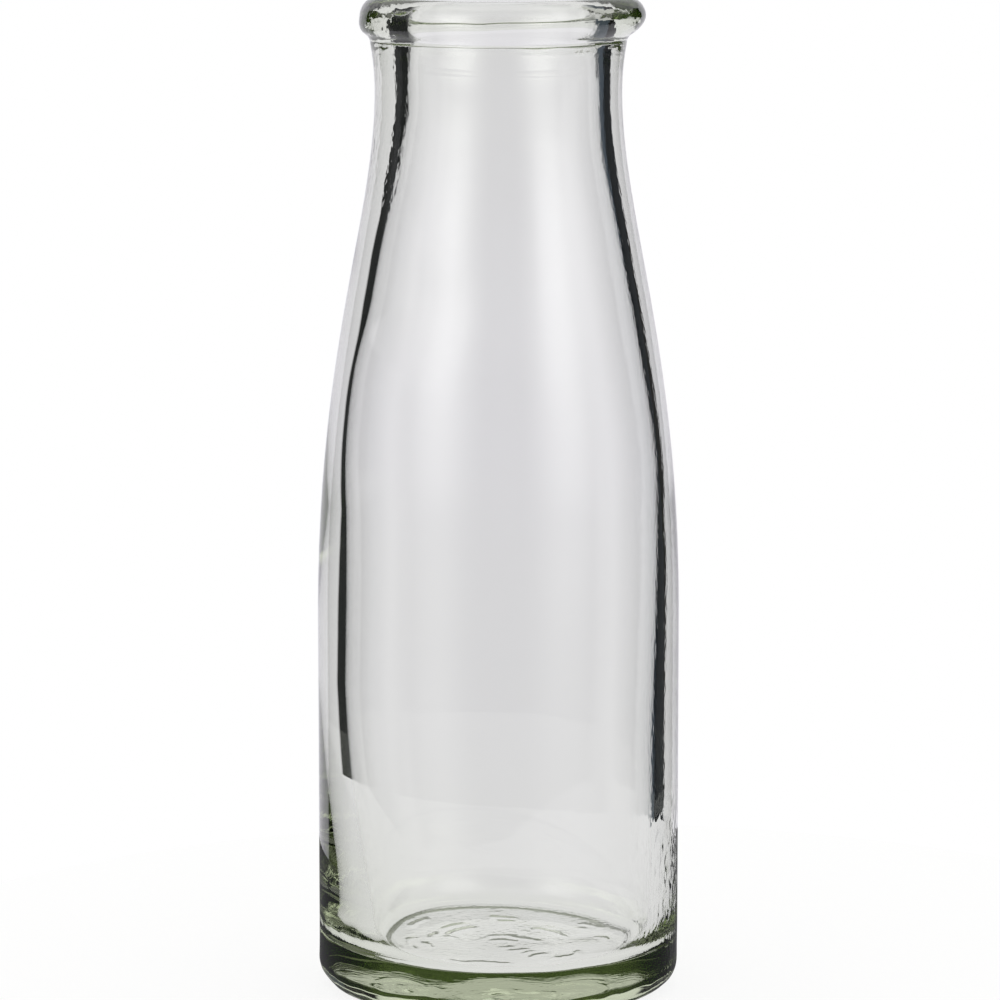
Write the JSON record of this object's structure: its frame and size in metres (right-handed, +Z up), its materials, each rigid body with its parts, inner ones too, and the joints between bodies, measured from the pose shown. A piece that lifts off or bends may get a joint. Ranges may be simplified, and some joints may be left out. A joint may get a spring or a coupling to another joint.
{
  "type": "glass milk bottle",
  "caption": "Small clear glass milk bottle with a rolled lip, a long sloping shoulder, a straight round body and a thick base, for pouring drinks or holding flowers.",
  "frame": {"origin": "middle of the plane that the bottle stands on", "axes": "+Z up along the bottle's axis, towards the mouth; X and Y are alike because the bottle is round"},
  "size_m": [0.066, 0.066, 0.1815],
  "materials": {
    "glass": "clear soda-lime glass with a faint green cast, fire polished"
  },
  "bodies": {
    "root": {"base": "glass", "body_wall": "glass", "shoulder": "glass", "neck": "glass", "lip_ring": "glass"}
  },
  "joints": []
}
